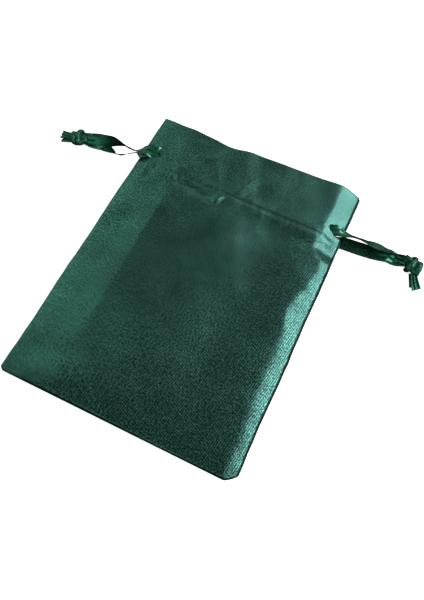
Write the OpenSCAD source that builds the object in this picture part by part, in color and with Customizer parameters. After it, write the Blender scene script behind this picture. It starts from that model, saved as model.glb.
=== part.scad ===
// Drawstring gift sack of satin, lying on its back panel.
// X runs across the sack, Y from the bottom seam to the mouth and Z up.
// The origin is the middle of the sack, on the surface that it lies on.

/* [Sack] */
// Width across the side seams
sack_w = 100; // [95:1:110]
// Length from the bottom seam to the mouth
sack_l = 140; // [138:1:160]
// Height of the front panel's crown above the surface
loft = 8.6; // [8.5:0.1:9.5]
// Height of the seam that joins the two panels
seam_z = 3.2; // [3.1:0.1:3.4]
// Width of the rounded edge of the front panel
edge_w = 14; // [13:0.5:16]
// Thickness of one layer of satin
cloth_t = 0.5; // [0.4:0.05:0.55]

/* [Header] */
// Depth of the hem, from the mouth down to its row of stitches
header_d = 30; // [28:1:32]
// Thickness of the turned-in hem
hem_t = 0.4; // [0.3:0.05:0.45]
// Height of the tunnel between a panel and its hem, at the front
front_tunnel_h = 1.0; // [0.9:0.05:1.1]
// Height of the tunnel between a panel and its hem, at the back
back_tunnel_h = 1.2; // [1.1:0.05:1.3]
// Length of the unsewn gap in each side seam, where the ribbons come out
gap_l = 12.7; // [12.6:0.1:14]
// Distance from the side seam to the lip of the front panel at that gap
lip_in = 10; // [9:0.5:11]

/* [Ribbons] */
// Width of each ribbon
ribbon_w = 6; // [5:0.5:6]
// Thickness of each ribbon
ribbon_t = 0.3; // [0.2:0.05:0.35]
// Clearance beside a ribbon in its lane
lane_gap = 0.3; // [0.2:0.05:0.3]

/* [Seams] */
// Width of the turned-in seam allowances
allowance_w = 6.4; // [5:0.2:7]
// Thickness of the two layers of a seam allowance
allowance_t = 0.8; // [0.6:0.05:0.8]
// Length of one stitch
stitch_l = 2.2; // [1.5:0.1:2.4]
// Distance from one stitch to the next
stitch_pitch = 3.2; // [2.8:0.1:4]
// Thickness of the sewing thread
thread_t = 0.18; // [0.12:0.02:0.2]

/* [Hidden] */
half_w = sack_w / 2;
half_l = sack_l / 2;
rim_r = seam_z;                        // radius of the back panel's rolled-up rim
crown_flat = half_w - edge_w;          // half the width of the level part of the front panel
hem_y = half_l - header_d;             // the row of stitches
gap_y0 = hem_y + 0.6;                  // lower end of the gap in the side seams
gap_y1 = gap_y0 + gap_l;               // upper end of that gap
fold_t = 0.5;                          // thickness of the fold at the mouth
sewn_w = 1.5;                          // width of the band where hem and panel are sewn together
over = 1;                              // how far a cutting shape runs past what it cuts
arc_steps = 12;                        // flats in each quarter of a rounded edge

// heights of the layers in the header
front_hem_z = loft - cloth_t - front_tunnel_h - hem_t;
back_hem_z = cloth_t + back_tunnel_h;
front_run_z = loft - cloth_t - front_tunnel_h / 2;
back_run_z = cloth_t + back_tunnel_h / 2;

// the two lanes in the tunnel, one above the other along Y
right_lane_y = gap_y0 + 0.2 + ribbon_w / 2;
left_lane_y = right_lane_y + ribbon_w + lane_gap;

// the turn of a ribbon at the far side, from the front of the tunnel to the back
turn_r = (front_run_z - back_run_z) / 2;
turn_z = (front_run_z + back_run_z) / 2;
turn_x = half_w - 2 - turn_r - ribbon_t / 2;
lap_out = 2;                           // a run ends this far outside the side seam

// the seam allowances hang inside, just under the seam
side_allowance_z = seam_z - 0.1 - allowance_t;
bottom_allowance_z = side_allowance_z - 0.2 - allowance_t;
wall_gap = 0.3;                        // between a seam allowance and the panel beside it

// Routes of the free ribbon: distance out from the side seam, Y and Z
left_front_route = [[-0.5, 50, 7.1], [1.5, 48.2, 6.8], [4, 46.2, 6], [7.2, 45.9, 5.2], [11, 47, 4.3],
    [15, 46.9, 3.6], [18.5, 45.8, 3.2], [22.5, 44.5, 3], [25.5, 43.5, 3.1], [28.5, 42.6, 3.4]];
left_back_route = [[-0.5, 50, 0.5], [2, 48.4, 0.5], [5, 45.6, 0.5], [7.2, 43.6, 1.3], [9.5, 42, 1.8],
    [13, 41.3, 1.9], [16, 42, 1.6], [20, 43, 1.2], [25, 42.9, 1.2], [28.5, 42.2, 2]];
left_tail_routes = [[[33.5, 41.8, 3.4], [37, 41.6, 2], [41, 41, 1.2]],
    [[33.5, 41.2, 1.8], [36, 40.4, 0.9], [38.5, 39.6, 0.5]]];
right_front_route = [[-0.5, 44, 7.1], [1.5, 45.2, 6.8], [5.6, 47, 5.8], [11, 48.5, 5.2], [17, 48.7, 4.8],
    [23, 48.6, 4.3], [27, 48, 3.9], [29.5, 47.5, 3.7]];
right_back_route = [[-0.5, 44, 0.5], [3, 44.6, 0.5], [5.5, 44.6, 0.5], [8, 44.7, 1.3], [11, 45, 1.9],
    [14, 45.4, 2.1], [18, 45.9, 2.4], [21, 46.4, 2.4], [24, 46.7, 2.2], [27, 46.8, 2.3],
    [29.5, 46.8, 2.4]];
right_tail_routes = [[[33.5, 44.6, 2.8], [35.5, 42, 1.7], [37.4, 39.6, 1.1], [38.8, 36.8, 0.6]],
    [[33, 44.2, 1.4], [34, 42.2, 0.8], [34.8, 40, 0.5]]];
left_knot_at = [31.2, 42, 3.1];
right_knot_at = [32, 46.6, 3.1];
knot_l = 8.5;
knot_core_r = 1.8;
knot_collar_r = 1.9;
knot_collar_t = 1.2;
knot_tilt = 22;
ring_steps = 2;                        // rings between two points of a route

satin = [0.13, 0.42, 0.32];
satin_dark = [0.09, 0.33, 0.25];
ribbon_green = [0.03, 0.36, 0.22];
thread_green = [0.10, 0.30, 0.24];

// --- profiles -------------------------------------------------------------

// Height of the front panel's outer face at a distance x from the middle
function crown_z(x) = abs(x) <= crown_flat
    ? loft
    : seam_z + (loft - seam_z) * sqrt(max(0, 1 - pow((abs(x) - crown_flat) / edge_w, 2)));

// A quarter of an ellipse about c, from angle a0 to angle a1
function quarter(c, rx, rz, a0, a1) = [for (i = [0 : arc_steps])
    let (a = a0 + (a1 - a0) * i / arc_steps)
    [c[0] + rx * cos(a), c[1] + rz * sin(a)]];

// Cross-section of the space under the front panel, shrunk by inset
function crown_profile(inset) = concat(
    [[-half_w + inset, seam_z - inset * 2]],
    quarter([-crown_flat, seam_z], edge_w - inset, loft - seam_z - inset, 180, 90),
    quarter([crown_flat, seam_z], edge_w - inset, loft - seam_z - inset, 90, 0),
    [[half_w - inset, seam_z - inset * 2]]);

// The same along Y: rounded at the bottom seam and open at the mouth
function crown_side_profile(inset) = concat(
    [[-half_l + inset, seam_z - inset * 2]],
    quarter([-half_l + edge_w, seam_z], edge_w - inset, loft - seam_z - inset, 180, 90),
    [[half_l + inset, loft - inset], [half_l + inset, seam_z - inset * 2]]);

// Cross-section of the tray under the seam, with its rim rolled up
function tray_profile(inset) = concat(
    quarter([-half_w + rim_r, rim_r], rim_r - inset, rim_r - inset, 180, 270),
    quarter([half_w - rim_r, rim_r], rim_r - inset, rim_r - inset, 270, 360),
    [[half_w - inset, seam_z + inset * 2], [-half_w + inset, seam_z + inset * 2]]);

function tray_side_profile(inset) = concat(
    quarter([-half_l + rim_r, rim_r], rim_r - inset, rim_r - inset, 180, 270),
    [[half_l + inset, inset], [half_l + inset, seam_z + inset * 2],
        [-half_l + inset, seam_z + inset * 2]]);

module along_y(points, length) {
    translate([0, length / 2, 0])
        rotate([90, 0, 0])
            linear_extrude(length)
                polygon(points);
}

module along_x(points, length) {
    translate([-length / 2, 0, 0])
        rotate([90, 0, 90])
            linear_extrude(length)
                polygon(points);
}

module crown_solid(inset) {
    intersection() {
        along_y(crown_profile(inset), sack_l + 2 * over);
        along_x(crown_side_profile(inset), sack_w);
    }
}

module tray_solid(inset) {
    intersection() {
        along_y(tray_profile(inset), sack_l + 2 * over);
        along_x(tray_side_profile(inset), sack_w);
    }
}

// A block that spans the gap in the side seam, on one side of the sack
module side_gap(side, from_x, z0, z1) {
    x0 = side > 0 ? from_x : -half_w - over;
    translate([x0, gap_y0, z0])
        cube([half_w + over - from_x, gap_l, z1 - z0]);
}

// --- panels and hems ------------------------------------------------------

module front_panel() {
    color(satin)
        difference() {
            crown_solid(0);
            crown_solid(cloth_t);
            for (side = [-1, 1])
                side_gap(side, half_w - lip_in, 0, loft + over);
        }
}

module back_panel() {
    color(satin_dark)
        difference() {
            tray_solid(0);
            tray_solid(cloth_t);
            for (side = [-1, 1])
                side_gap(side, half_w - rim_r, -over, seam_z + over);
        }
}

// A hem: a flat strip, sewn to its panel along one band and folded over at the mouth
module hem(strip_z, sewn_z, tunnel_h, reach, gap_reach) {
    difference() {
        union() {
            translate([-reach, hem_y - 1, strip_z])
                cube([2 * reach, header_d + 1, hem_t]);
            translate([-crown_flat, hem_y - 1, sewn_z])
                cube([2 * crown_flat, sewn_w, tunnel_h]);
            translate([-crown_flat, half_l - fold_t, sewn_z])
                cube([2 * crown_flat, fold_t, tunnel_h]);
        }
        for (side = [-1, 1])
            side_gap(side, gap_reach, strip_z - over, strip_z + hem_t + over);
    }
}

module front_hem() {
    color(satin_dark)
        hem(front_hem_z, front_hem_z + hem_t, front_tunnel_h, half_w - 9, half_w - lip_in);
}

module back_hem() {
    color(satin_dark)
        hem(back_hem_z, cloth_t, back_tunnel_h, half_w - 4, half_w - 6);
}

// --- stitches and seam allowances -----------------------------------------

// Stitches along X across the crown, each one laid on the slope under it
module front_hem_stitches() {
    reach = floor((half_w - 4) / stitch_pitch);
    color(thread_green)
        for (i = [-reach : reach])
            let (
                x = i * stitch_pitch,
                slope = atan2(crown_z(x + 1) - crown_z(x - 1), 2)
            )
                translate([x, hem_y, crown_z(x)])
                    rotate([0, -slope, 0])
                        translate([-stitch_l / 2, -thread_t, 0.04])
                            cube([stitch_l, 2 * thread_t, thread_t]);
}

module stitch_row(n, pitch_axis) {
    size = pitch_axis[0] > 0 ? [stitch_l, 2 * thread_t, thread_t] : [2 * thread_t, stitch_l, thread_t];
    for (i = [0 : n - 1])
        translate(pitch_axis * (i - (n - 1) / 2) * stitch_pitch - [size[0] / 2, size[1] / 2, 0])
            cube(size);
}

module back_hem_stitches() {
    n = 2 * floor((half_w - 6) / stitch_pitch) + 1;
    color(thread_green)
        translate([0, hem_y - 1 + sewn_w / 2, back_hem_z + hem_t])
            stitch_row(n, [1, 0, 0]);
}

module bottom_seam_allowance() {
    reach = half_w - rim_r / 2 - wall_gap;
    color(satin_dark)
        translate([-reach, -half_l + rim_r / 2, bottom_allowance_z])
            cube([2 * reach, allowance_w, allowance_t]);
}

module bottom_seam_stitches() {
    n = 2 * floor((half_w - 12) / stitch_pitch) + 1;
    color(thread_green)
        translate([0, -half_l + rim_r / 2 + 1, bottom_allowance_z + allowance_t])
            stitch_row(n, [1, 0, 0]);
}

module side_allowance(side) {
    x = half_w - cloth_t - wall_gap - allowance_w / 2;
    y0 = -half_l + cloth_t + wall_gap;
    color(satin_dark)
        translate([side * x - allowance_w / 2, y0, side_allowance_z])
            cube([allowance_w, hem_y - 2 - y0, allowance_t]);
}

module side_stitches(side) {
    y0 = -half_l + 4;
    y1 = hem_y - 4;
    n = floor((y1 - y0) / stitch_pitch);
    color(thread_green)
        translate([side * (half_w - 2), (y0 + y1) / 2, side_allowance_z + allowance_t])
            stitch_row(n, [0, 1, 0]);
}

module left_seam_allowance() {
    side_allowance(-1);
}

module right_seam_allowance() {
    side_allowance(1);
}

module left_seam_stitches() {
    side_stitches(-1);
}

module right_seam_stitches() {
    side_stitches(1);
}

// --- ribbons inside the tunnel --------------------------------------------

// A straight run along the tunnel of the ribbon that leaves at the given side
module run(side, lane_y, z) {
    length = half_w + lap_out + turn_x;
    middle = side * (half_w + lap_out - turn_x) / 2;
    color(ribbon_green)
        translate([middle - length / 2, lane_y - ribbon_w / 2, z - ribbon_t / 2])
            cube([length, ribbon_w, ribbon_t]);
}

// The half turn that joins the two runs at the side opposite the one it leaves at
module turn(side, lane_y) {
    color(ribbon_green)
        translate([-side * turn_x, lane_y + ribbon_w / 2, turn_z])
            rotate([90, 0, 0])
                linear_extrude(ribbon_w)
                    difference() {
                        circle(turn_r + ribbon_t / 2, $fn = 64);
                        circle(turn_r - ribbon_t / 2, $fn = 64);
                        translate([side > 0 ? 0 : -2 * turn_r, -2 * turn_r])
                            square([2 * turn_r, 4 * turn_r]);
                    }
}

module left_ribbon_front_run() {
    run(-1, left_lane_y, front_run_z);
}

module left_ribbon_back_run() {
    run(-1, left_lane_y, back_run_z);
}

module left_ribbon_turn() {
    turn(-1, left_lane_y);
}

module right_ribbon_front_run() {
    run(1, right_lane_y, front_run_z);
}

module right_ribbon_back_run() {
    run(1, right_lane_y, back_run_z);
}

module right_ribbon_turn() {
    turn(1, right_lane_y);
}

// --- free ribbon ----------------------------------------------------------

// A route point in the sack's frame
function at(side, p) = [side * (half_w + p[0]), p[1], p[2]];

// Points on a smooth curve through the route, ring_steps between each two of its points
function smooth(p) = let (n = len(p) - 1) concat(
    [for (i = [0 : n - 1])
        let (
            p1 = p[i],
            p2 = p[i + 1],
            m1 = (p[min(i + 1, n)] - p[max(i - 1, 0)]) / 2,
            m2 = (p[min(i + 2, n)] - p[i]) / 2
        )
        for (k = [0 : ring_steps - 1])
            let (t = k / ring_steps, t2 = t * t, t3 = t2 * t)
            (2 * t3 - 3 * t2 + 1) * p1 + (t3 - 2 * t2 + t) * m1
                + (3 * t2 - 2 * t3) * p2 + (t3 - t2) * m2],
    [p[n]]);

// Section of a flat ribbon: half widths and half thicknesses, eight points
section = [[1, 0], [0.9, 1], [0.3, 1], [-0.3, 1], [-0.9, 1], [-1, 0], [-0.9, -1], [0.9, -1]];

function unit(v) = v / norm(v);

// One ring of the ribbon about point i of path q, its width level
function ring(q, i) =
    let (
        n = len(q) - 1,
        along = unit(q[min(i + 1, n)] - q[max(i - 1, 0)]),
        across = unit(cross([0, 0, 1], along)),
        up = cross(along, across)
    )
    [for (s = section) q[i] + across * s[0] * ribbon_w / 2 + up * s[1] * ribbon_t / 2];

module flat_ribbon(side, route) {
    path = smooth([for (p = route) at(side, p)]);
    n = len(path);
    m = len(section);
    points = [for (i = [0 : n - 1]) for (p = ring(path, i)) p];
    walls = [for (i = [0 : n - 2]) for (k = [0 : m - 1])
        for (f = [
            [i * m + k, i * m + (k + 1) % m, (i + 1) * m + (k + 1) % m],
            [i * m + k, (i + 1) * m + (k + 1) % m, (i + 1) * m + k]
        ]) f];
    start = [for (k = [m - 1 : -1 : 0]) k];
    end = [for (k = [0 : m - 1]) (n - 1) * m + k];
    color(ribbon_green)
        polyhedron(points = points, faces = concat(walls, [start, end]), convexity = 6);
}

// An overhand knot: the gathered ribbons, and the turn drawn tight round them
module knot(side, at_point, heading) {
    color(ribbon_green)
        translate(at(side, at_point))
            rotate([0, 0, heading]) {
                rotate([0, 90, 0])
                    rotate_extrude($fn = 40)
                        polygon(concat(
                            [[0, -knot_l / 2]],
                            [for (i = [0 : 8])
                                let (a = -80 + 20 * i)
                                [knot_core_r * cos(a), knot_l / 2 * sin(a)]],
                            [[0, knot_l / 2]]));
                rotate([0, 90 - knot_tilt, 0])
                    rotate_extrude($fn = 40)
                        translate([knot_collar_r, 0])
                            circle(knot_collar_t, $fn = 24);
            }
}

module left_ribbon_front_strand() {
    flat_ribbon(-1, left_front_route);
}

module left_ribbon_back_strand() {
    flat_ribbon(-1, left_back_route);
}

module left_ribbon_knot() {
    knot(-1, left_knot_at, 0);
}

module left_ribbon_tails() {
    for (route = left_tail_routes)
        flat_ribbon(-1, route);
}

module right_ribbon_front_strand() {
    flat_ribbon(1, right_front_route);
}

module right_ribbon_back_strand() {
    flat_ribbon(1, right_back_route);
}

module right_ribbon_knot() {
    knot(1, right_knot_at, -30);
}

module right_ribbon_tails() {
    for (route = right_tail_routes)
        flat_ribbon(1, route);
}

front_panel();
back_panel();
front_hem();
back_hem();
front_hem_stitches();
back_hem_stitches();
bottom_seam_allowance();
bottom_seam_stitches();
left_seam_allowance();
left_seam_stitches();
right_seam_allowance();
right_seam_stitches();
left_ribbon_front_run();
left_ribbon_back_run();
left_ribbon_turn();
left_ribbon_front_strand();
left_ribbon_back_strand();
left_ribbon_knot();
left_ribbon_tails();
right_ribbon_front_run();
right_ribbon_back_run();
right_ribbon_turn();
right_ribbon_front_strand();
right_ribbon_back_strand();
right_ribbon_knot();
right_ribbon_tails();
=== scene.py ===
"""Satin drawstring gift sack: the looks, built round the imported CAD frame.

Shape functions work in millimetres in the frame's own axes (X across the sack, Y toward the
mouth, Z up); MM turns them into the metres that Blender and the frame use.
"""

import math

import bpy
import numpy as np
from mathutils import Matrix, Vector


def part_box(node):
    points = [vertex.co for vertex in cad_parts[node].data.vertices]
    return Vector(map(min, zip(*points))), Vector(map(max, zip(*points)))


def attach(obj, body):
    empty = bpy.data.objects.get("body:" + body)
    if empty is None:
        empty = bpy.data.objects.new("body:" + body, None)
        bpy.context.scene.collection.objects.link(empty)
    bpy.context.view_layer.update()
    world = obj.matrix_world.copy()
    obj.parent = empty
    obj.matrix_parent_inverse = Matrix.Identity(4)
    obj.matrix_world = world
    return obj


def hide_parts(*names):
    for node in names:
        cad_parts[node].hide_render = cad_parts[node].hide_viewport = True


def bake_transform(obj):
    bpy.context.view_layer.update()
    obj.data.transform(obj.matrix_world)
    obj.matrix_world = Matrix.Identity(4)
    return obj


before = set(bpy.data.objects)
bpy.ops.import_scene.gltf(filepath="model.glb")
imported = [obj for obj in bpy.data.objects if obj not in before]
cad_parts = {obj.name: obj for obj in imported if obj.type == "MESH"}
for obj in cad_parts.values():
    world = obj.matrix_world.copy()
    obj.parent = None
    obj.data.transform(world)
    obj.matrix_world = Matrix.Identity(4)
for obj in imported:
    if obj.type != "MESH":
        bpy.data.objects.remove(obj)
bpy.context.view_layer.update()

MM = 0.001
RNG_SEED = 7
SIGN = {"left": -1, "right": 1}

# ---- Sizes: the frame's, then the cloth's own


def box_mm(node):
    """The low and the high corner of a CAD solid's box, in millimetres."""
    return np.array(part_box(node)) / MM


FRONT_LO, FRONT_HI = box_mm("front_panel")
HALF_W = FRONT_HI[0]
BOTTOM_Y, MOUTH_Y = FRONT_LO[1], FRONT_HI[1]
SEAM_Z = FRONT_LO[2]
HEM_Y = box_mm("front_hem")[0][1] + 1.0  # the row of stitches, just inside the hem's edge
LANE_Y = {side: box_mm(f"{side}_ribbon_front_run")[:, 1].mean() for side in SIGN}
RUN_Z = {face: box_mm(f"left_ribbon_{face}_run")[:, 2].mean() for face in ("front", "back")}
RIBBON_W = np.ptp(box_mm("left_ribbon_front_run")[:, 1])

CLOTH_T = 0.24  # thickness of the satin
RIBBON_T = 0.16  # thickness of the ribbon
CELL = 0.7  # spacing of the fabric's mesh
GAP_Y = 46.4  # middle of the gaps in the side seams
STITCH_PITCH = 3.2  # from the start of one stitch to the start of the next
FRAY_R = 0.03  # radius of a thread at a raw edge of the satin

# ---- Small tools


def smoothstep(a, b, x):
    t = np.clip((x - a) / (b - a), 0, 1)
    return t * t * (3 - 2 * t)


def bell(d, width):
    return np.exp(-((d / width) ** 2))


def waves(x, seed, period, count=5):
    """Irregular waves along one direction, about -1 to 1."""
    rng = np.random.default_rng(seed)
    total = 0
    for _ in range(count):
        length = period * rng.uniform(0.7, 1.5)
        total = total + np.cos(2 * np.pi * x / length + rng.uniform(0, 2 * np.pi))
    return total / math.sqrt(count)


def ripple(x, y, seed, period, count=9):
    """Irregular waves over a surface, about -1 to 1."""
    rng = np.random.default_rng(seed)
    total = 0
    for _ in range(count):
        length = period * rng.uniform(0.7, 1.6)
        a = rng.uniform(0, 2 * np.pi)
        along = x * math.cos(a) + y * math.sin(a)
        total = total + np.cos(2 * np.pi * along / length + rng.uniform(0, 2 * np.pi))
    return total / math.sqrt(count)


def through(points, n):
    """n points evenly spaced along a smooth curve through the given ones."""
    p = np.asarray(points, float)
    ext = np.vstack([2 * p[0] - p[1], p, 2 * p[-1] - p[-2]])
    fine = []
    for i in range(1, len(ext) - 2):
        p0, p1, p2, p3 = ext[i - 1:i + 3]
        t = np.linspace(0, 1, 24, endpoint=False)[:, None]
        fine.append(0.5 * (2 * p1 + (p2 - p0) * t + (2 * p0 - 5 * p1 + 4 * p2 - p3) * t ** 2
                           + (3 * p1 - p0 - 3 * p2 + p3) * t ** 3))
    fine = np.vstack(fine + [p[-1:]])
    run = run_length(fine[:, :3])
    at = np.linspace(0, run[-1], n)
    return np.stack([np.interp(at, run, fine[:, k]) for k in range(p.shape[1])], 1)

def run_length(points):
    """How far along a line of points each of them is."""
    return np.concatenate([[0], np.cumsum(np.linalg.norm(np.diff(points, axis=0), axis=1))])


def unit(v):
    return v / np.linalg.norm(v, axis=-1, keepdims=True)


def tangents(path):
    return unit(np.gradient(path, axis=0))


def between(value, places):
    """Where values fall on a row of places: the place before each, and the share of the step."""
    at = np.clip(np.interp(value, places, np.arange(len(places))), 0, len(places) - 1.001)
    return at.astype(int), at - at.astype(int)
def listed(*grids):
    """Grids of numbers as one list of points or weave places."""
    return np.stack(np.broadcast_arrays(*grids), -1).reshape(-1, len(grids))


def vertex_normals(verts, quads):
    a, b, c, d = (verts[quads[:, k]] for k in range(4))
    face = np.cross(c - a, d - b)
    normals = np.zeros_like(verts)
    for k in range(4):
        np.add.at(normals, quads[:, k], face)
    return normals / np.maximum(np.linalg.norm(normals, axis=1, keepdims=True), 1e-12)


def new_object(name, verts, faces, materials, face_material=None, uv=None, normals=None):
    """A smooth mesh object from millimetre points; uv gives the weave's own millimetres."""
    mesh = bpy.data.meshes.new(name)
    mesh.from_pydata((np.asarray(verts) * MM).tolist(), [], [list(map(int, f)) for f in faces])
    for m in materials:
        mesh.materials.append(m)
    if face_material is not None:
        mesh.polygons.foreach_set("material_index", np.asarray(face_material, np.int32))
    mesh.polygons.foreach_set("use_smooth", [True] * len(mesh.polygons))
    if uv is not None:
        layer = mesh.uv_layers.new(name="weave")
        loops = np.zeros(len(mesh.loops), np.int32)
        mesh.loops.foreach_get("vertex_index", loops)
        layer.data.foreach_set("uv", np.asarray(uv, np.float32)[loops].ravel())
    mesh.update()
    if normals is not None:
        mesh.normals_split_custom_set_from_vertices(np.asarray(normals).tolist())
    obj = bpy.data.objects.new(name, mesh)
    bpy.context.scene.collection.objects.link(obj)
    return obj


def closed_faces(quads, count):
    """Faces of a sheet of count points, of the same points below it, and of its rim."""
    edges = np.concatenate([quads[:, [k, (k + 1) % 4]] for k in range(4)])
    code = np.minimum(edges[:, 0], edges[:, 1]) * count + np.maximum(edges[:, 0], edges[:, 1])
    _, first, times = np.unique(code, return_index=True, return_counts=True)
    rim = edges[first[times == 1]]
    sides = np.stack([rim[:, 1], rim[:, 0], rim[:, 0] + count, rim[:, 1] + count], 1)
    return quads.tolist() + (quads[:, ::-1] + count).tolist() + sides.tolist()


def thick_sheet(name, verts, quads, uv, thickness, materials, keep=None):
    """A closed sheet of cloth about a mid surface. Normals come from the whole surface, so
    that two pieces of one surface shade alike where they meet. keep picks this piece's quads."""
    normals = vertex_normals(verts, quads)
    part = quads if keep is None else quads[keep]
    used = np.unique(part)
    slot_of = np.full(len(verts), -1)
    slot_of[used] = np.arange(len(used))
    part = slot_of[part]
    v, n, t = verts[used], normals[used], uv[used]
    faces = closed_faces(part, len(used))
    face_material = np.zeros(len(faces))
    face_material[len(part):2 * len(part)] = len(materials) - 1
    half = n * thickness / 2
    return new_object(name, np.vstack([v + half, v - half]), faces, materials, face_material,
                      np.vstack([t, t]), np.vstack([n, -n]))


def grid_quads(rows, cols):
    i, j = np.meshgrid(np.arange(rows - 1), np.arange(cols - 1), indexing="ij")
    a = (i * cols + j).ravel()
    return np.stack([a, a + 1, a + cols + 1, a + cols], 1)


def carried(path, across, up, w, h):
    """Points of a section carried along a path: w of it along across, and h along up."""
    return path[:, None] + w[..., None] * across[:, None] + h[..., None] * up[:, None]


def joined(parts):
    """One set of points, faces and weave places out of several."""
    faces, base = [], 0
    for verts, part, _ in parts:
        faces += [[i + base for i in face] for face in part]
        base += len(verts)
    return np.concatenate([p[0] for p in parts]), faces, np.concatenate([p[2] for p in parts])


def tube_faces(rings, sides):
    """Faces of a closed tube through rings of points."""
    faces = []
    for start in range(0, (rings - 1) * sides, sides):
        for s in range(sides):
            t = (s + 1) % sides
            faces.append([start + s, start + t, start + sides + t, start + sides + s])
    last = (rings - 1) * sides
    return [*faces, [*range(sides)][::-1], [*range(last, last + sides)]]


def tubes(name, paths, radius, material, sides=6, taper=0.0):
    """One mesh of many thin threads, each along its own path. taper is what the end loses."""
    angle = np.linspace(0, 2 * np.pi, sides, endpoint=False)
    parts = []
    for path in paths:
        p = np.asarray(path, float)
        tangent = tangents(p)
        helper = np.where(np.abs(tangent[:, 2:]) > 0.8, [[1.0, 0, 0]], [[0, 0, 1.0]])
        across = unit(np.cross(helper, tangent))
        up = np.cross(tangent, across)
        steps = np.arange(len(p))[:, None]
        r = radius * (1 - taper * steps / (len(p) - 1))
        ring = carried(p, across, up, r * np.cos(angle), r * np.sin(angle))
        parts.append((ring.reshape(-1, 3), tube_faces(len(p), sides), listed(angle, 0.3 * steps)))
    verts, faces, uv = joined(parts)
    return new_object(name, verts, faces, [material], uv=uv)


# ---- Materials


class Nodes:
    """A node tree, with one short call for each kind of node that it needs."""

    def __init__(self, owner, shader="Principled BSDF"):
        owner.use_nodes = True
        self.owner = owner
        self.tree = owner.node_tree
        self.shader = self.tree.nodes[shader]

    def fill(self, node, values):
        """Sets or links a node's inputs, given by name or number."""
        for key, value in values.items():
            if isinstance(value, bpy.types.NodeSocket):
                self.tree.links.new(value, node.inputs[key])
            else:
                node.inputs[key].default_value = value

    def add(self, kind, values, out=0, **settings):
        node = self.tree.nodes.new(kind)
        for key, value in settings.items():
            setattr(node, key, value)
        self.fill(node, values)
        return node.outputs[out]

    def surface(self, **inputs):
        """Fills in the shader itself, and gives the finished material or world."""
        self.fill(self.shader, {key.replace("_", " "): value for key, value in inputs.items()})
        return self.owner

    def math(self, operation, a, b=0.0, c=0.0):
        return self.add("ShaderNodeMath", {0: a, 1: b, 2: c}, operation=operation)

    def weave(self):
        """The cloth's own place in millimetres: as a vector, across the cloth, and along it."""
        place = self.add("ShaderNodeUVMap", {}, uv_map="weave")
        across = self.add("ShaderNodeSeparateXYZ", {0: place})
        return place, across, across.node.outputs[1]

    def noise(self, vector, scale, detail=2.0, roughness=0.5):
        return self.add("ShaderNodeTexNoise", {"Vector": vector, "Scale": scale, "Detail": detail,
                                               "Roughness": roughness})

    def range(self, value, a0, a1, b0, b1):
        return self.add("ShaderNodeMapRange", {0: value, 1: a0, 2: a1, 3: b0, 4: b1})

    def mix(self, factor, a, b):
        return self.add("ShaderNodeMix", {0: factor, 6: a, 7: b}, out=2, data_type="RGBA")

    def bump(self, height, distance, strength, **under):
        return self.add("ShaderNodeBump", {"Height": height, "Distance": distance,
                                           "Strength": strength, **under})

    def threads(self, across, pitch):
        """A row of round threads: 0 between two of them and 1 on top of one."""
        return self.math("ABSOLUTE", self.math("SINE", self.math("MULTIPLY", across, math.pi / pitch)))


WARP = 0.22  # spacing of the finest threads along the cloth, in mm
WEFT = 0.26  # and across it


def satin(name, dark, light, roughness, specular, aniso, pitch, relief, tint, metallic):
    """Satin: fine slanting ribs of long floats, crossed by fainter ones, with a grain of painted glints:
    bright flecks painted into the colour on the ribs.
    pitch is the ribs' spacing in mm, and relief scales how deep the weave looks."""
    m = Nodes(bpy.data.materials.new(name))
    place, u, v = m.weave()
    stray = m.range(m.noise(place, 0.3, 2.0), 0.0, 1.0, -0.35, 0.35)
    slant = m.math("ADD", m.math("MULTIPLY_ADD", v, -0.19, u), stray)
    crossing = m.math("MULTIPLY_ADD", u, 0.46, m.math("MULTIPLY", v, 0.9))
    rib = m.threads(slant, pitch)
    cross_rib = m.threads(crossing, pitch * 1.18)
    warp = m.threads(u, WARP)
    cloudy = m.noise(place, 0.09, 3.0, 0.6)
    grain = m.noise(place, 1.15, 3.0, 0.8)
    fleck = m.noise(place, 1.5, 2.0, 0.6)
    ribs = m.math("SMOOTH_MIN", m.math("MULTIPLY", rib, 1.2), 1.0, 0.3)
    woven = m.math("ADD", m.math("MULTIPLY", ribs, 0.62), m.math("MULTIPLY", cross_rib, 0.30))
    strong = m.math("MULTIPLY_ADD", woven, 1.6, -0.50)
    tone = m.math("ADD", strong, m.range(grain, 0.42, 0.60, -0.62, 0.38))
    # painted highlight: bright flecks on the rib tops, painted into the colour as glints of light
    painted_glint = m.math("MULTIPLY", m.range(fleck, 0.52, 0.64, 0.0, 1.0), rib)
    base = m.mix(tone, (*dark, 1), (*light, 1))
    bright = tuple(1.5 * c + 0.03 for c in light)
    base = m.mix(painted_glint, base, (*bright, 1))
    shade = m.range(cloudy, 0.3, 0.7, 0.8, 1.2)
    colour = m.add("ShaderNodeHueSaturation", {"Color": base, "Value": shade})
    rough = m.math("ADD", m.range(fleck, 0.3, 0.7, -0.004, 0.04), m.range(cloudy, 0.3, 0.7, 0.0, 0.01))
    rough = m.math("ADD", rough, roughness)
    height = m.math("ADD", woven, m.math("MULTIPLY", warp, 0.15))
    fine = m.bump(height, 0.00004 * relief, 0.9)
    coarse = m.bump(m.math("MULTIPLY_ADD", fleck, 0.6, grain), 0.00003 * relief, 0.8, Normal=fine)
    tangent = m.add("ShaderNodeTangent", {}, direction_type="UV_MAP", uv_map="weave")
    return m.surface(Base_Color=colour, Roughness=rough, Normal=coarse, Tangent=tangent,
                     Metallic=metallic, Anisotropic=aniso, Specular_IOR_Level=specular,
                     Specular_Tint=(*tint, 1), IOR=1.6, Sheen_Weight=0.04, Sheen_Roughness=0.4,
                     Sheen_Tint=(0.55, 0.95, 0.85, 1))


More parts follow.
